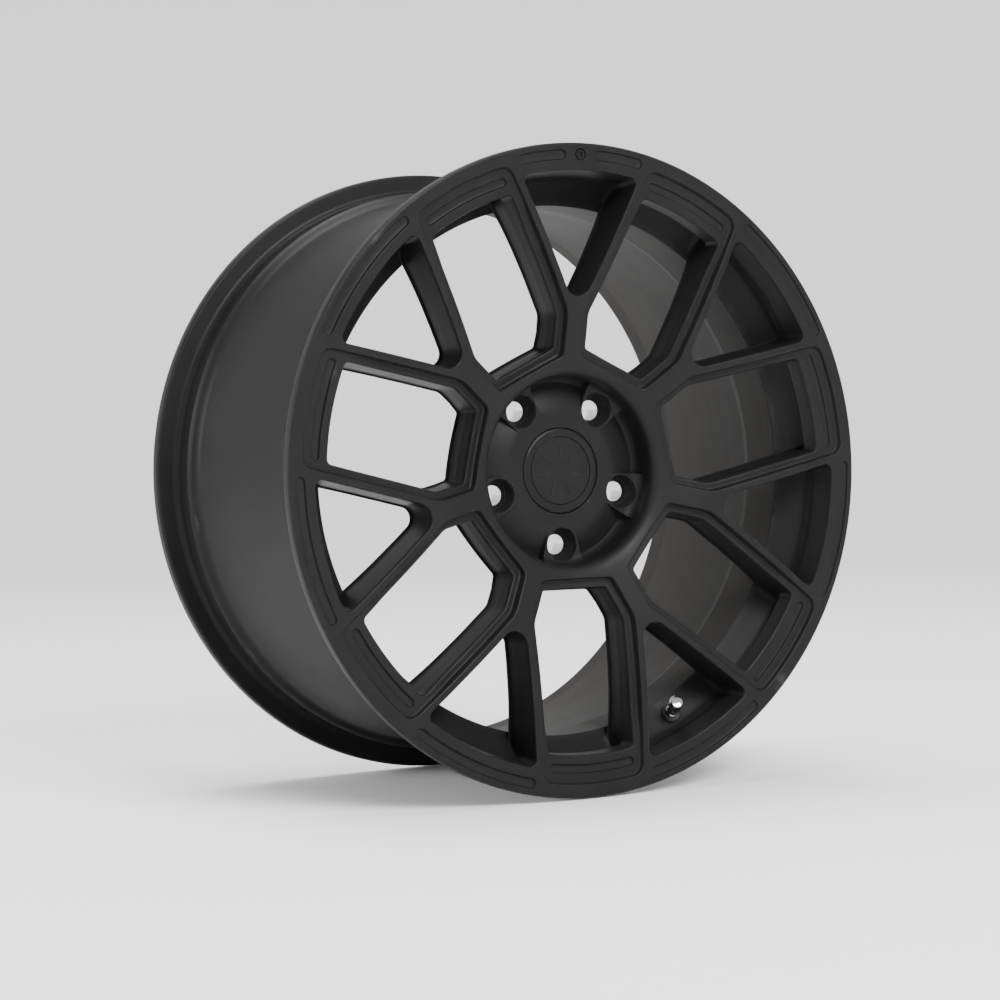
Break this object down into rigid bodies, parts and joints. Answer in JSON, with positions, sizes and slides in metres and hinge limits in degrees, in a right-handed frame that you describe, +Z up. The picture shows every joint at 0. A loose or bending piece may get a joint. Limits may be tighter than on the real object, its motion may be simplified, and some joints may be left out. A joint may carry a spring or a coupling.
{
  "type": "racing wheel rim",
  "caption": "Forged one-piece racing wheel rim with split Y spokes, a deep concave face, pressed-in steel lug seats, a snap-in centre cap and a snap-in tyre valve.",
  "frame": {"origin": "on the axle, midway between the two flanges' outer faces", "axes": "+Y along the axle towards the car, so the styled face looks along -Y; +Z up through one spoke; +X to the right seen from the front"},
  "size_m": [0.497, 0.2624, 0.497],
  "materials": {
    "forging_black": "satin black powder coat on forged aluminium",
    "seat_steel": "turned, bare",
    "cap_black": "satin black moulding",
    "cap_badge": "satin black plate",
    "spring_steel": "drawn wire",
    "valve_rubber": "moulded",
    "seal_rubber": "moulded",
    "valve_brass": "turned",
    "valve_chrome": "polished plate"
  },
  "bodies": {
    "wheel": {"rim_barrel": "forging_black", "hub_centre": "forging_black", "y_spoke_1": "forging_black", "y_spoke_2": "forging_black", "y_spoke_3": "forging_black", "y_spoke_4": "forging_black", "y_spoke_5": "forging_black", "y_spoke_6": "forging_black", "y_spoke_7": "forging_black", "lug_seat_1": "seat_steel", "lug_seat_2": "seat_steel", "lug_seat_3": "seat_steel", "lug_seat_4": "seat_steel", "lug_seat_5": "seat_steel", "valve_rubber": "valve_rubber", "valve_stem": "valve_brass", "valve_sleeve": "valve_chrome", "core_barrel": "valve_brass", "core_gasket": "seal_rubber", "core_spring": "spring_steel"},
    "centre_cap": {"centre_cap": "cap_black", "cap_badge": "cap_badge", "cap_wire_ring": "spring_steel"},
    "valve_cap": {"valve_cap": "valve_chrome", "valve_cap_seal": "seal_rubber"},
    "core_pin": {"core_pin": "valve_brass", "core_cup": "seal_rubber"}
  },
  "joints": [
    {"name": "cap_pull", "type": "slide", "parent": "wheel", "child": "centre_cap", "axis": [0, -1, 0], "range_m": [0, 0.03]},
    {"name": "valve_cap_lift", "type": "slide", "parent": "wheel", "child": "valve_cap", "axis": [-0.2594, -0.8016, 0.5387], "range_m": [0, 0.012]},
    {"name": "core_pin_press", "type": "slide", "parent": "wheel", "child": "core_pin", "axis": [0.2594, 0.8016, -0.5387], "range_m": [0, 0.0008], "stiffness_N_per_m": 800, "springref_m": -0.001, "deforming": ["core_spring"]}
  ]
}
